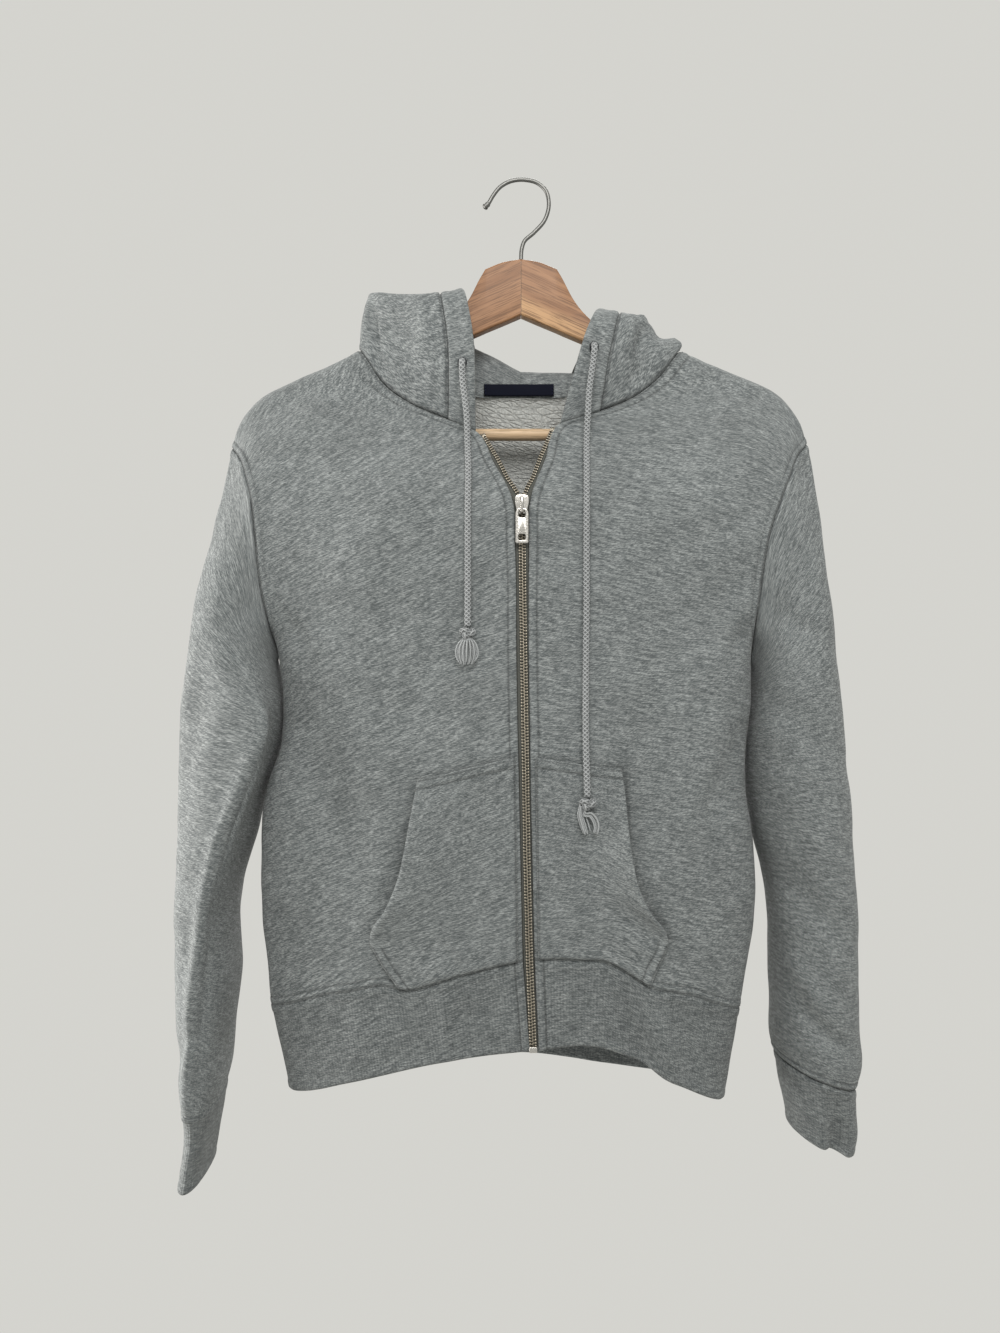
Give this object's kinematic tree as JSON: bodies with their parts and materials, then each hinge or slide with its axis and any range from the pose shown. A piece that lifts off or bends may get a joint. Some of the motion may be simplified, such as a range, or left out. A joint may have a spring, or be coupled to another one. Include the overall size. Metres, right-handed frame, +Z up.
{
  "type": "zip-up hooded sweatshirt on a hanger",
  "caption": "Hooded sweatshirt in grey marl with a full front zip, patch pockets, ribbed hem and cuffs and tasselled drawcords, hung closed on a wooden hanger with its hood folded back.",
  "frame": {"origin": "the inside of the top of the hanger's hook, where it hangs", "axes": "+Z up, -Y to the front of the garment, +X to the wearer's left"},
  "size_m": [0.5785, 0.1848, 0.863],
  "materials": {
    "marl_knit": "matt brushed-back knit in cool grey marl",
    "rib_knit": "matt rib knit in cool grey marl",
    "zip_tape": "woven dark olive-grey tape",
    "nickel": "bright nickel plate",
    "label_weave": "navy satin weave, bare",
    "cord_braid": "light grey cotton braid",
    "stained_wood": "satin lacquered reddish wood",
    "pale_wood": "satin lacquered pale wood",
    "steel_wire": "satin steel wire"
  },
  "bodies": {
    "hoodie": {"back": "marl_knit", "cuff_left": "rib_knit", "cuff_right": "rib_knit", "drawcord_left": "cord_braid", "drawcord_right": "cord_braid", "front_left": "marl_knit", "front_right": "marl_knit", "hanger_arm_left": "stained_wood", "hanger_arm_right": "stained_wood", "hanger_bar": "pale_wood", "hanger_hook": "steel_wire", "hem_rib": "rib_knit", "hood_band_left": "marl_knit", "hood_band_right": "marl_knit", "hood_left": "marl_knit", "hood_right": "marl_knit", "label": "label_weave", "pocket_left": "marl_knit", "pocket_right": "marl_knit", "sleeve_left": "marl_knit", "sleeve_right": "marl_knit", "tassel_left": "cord_braid", "tassel_right": "cord_braid", "zip_slider": "nickel", "zip_stop": "nickel", "zip_tape_left": "zip_tape", "zip_tape_right": "zip_tape"},
    "zip_pull": {"zip_pull": "nickel"}
  },
  "joints": [
    {"name": "pull_swing", "type": "hinge", "parent": "hoodie", "child": "zip_pull", "pos_m": [-0.00072, -0.069, -0.2966], "axis": [-1, 0, 0], "range_deg": [0, 150]}
  ]
}
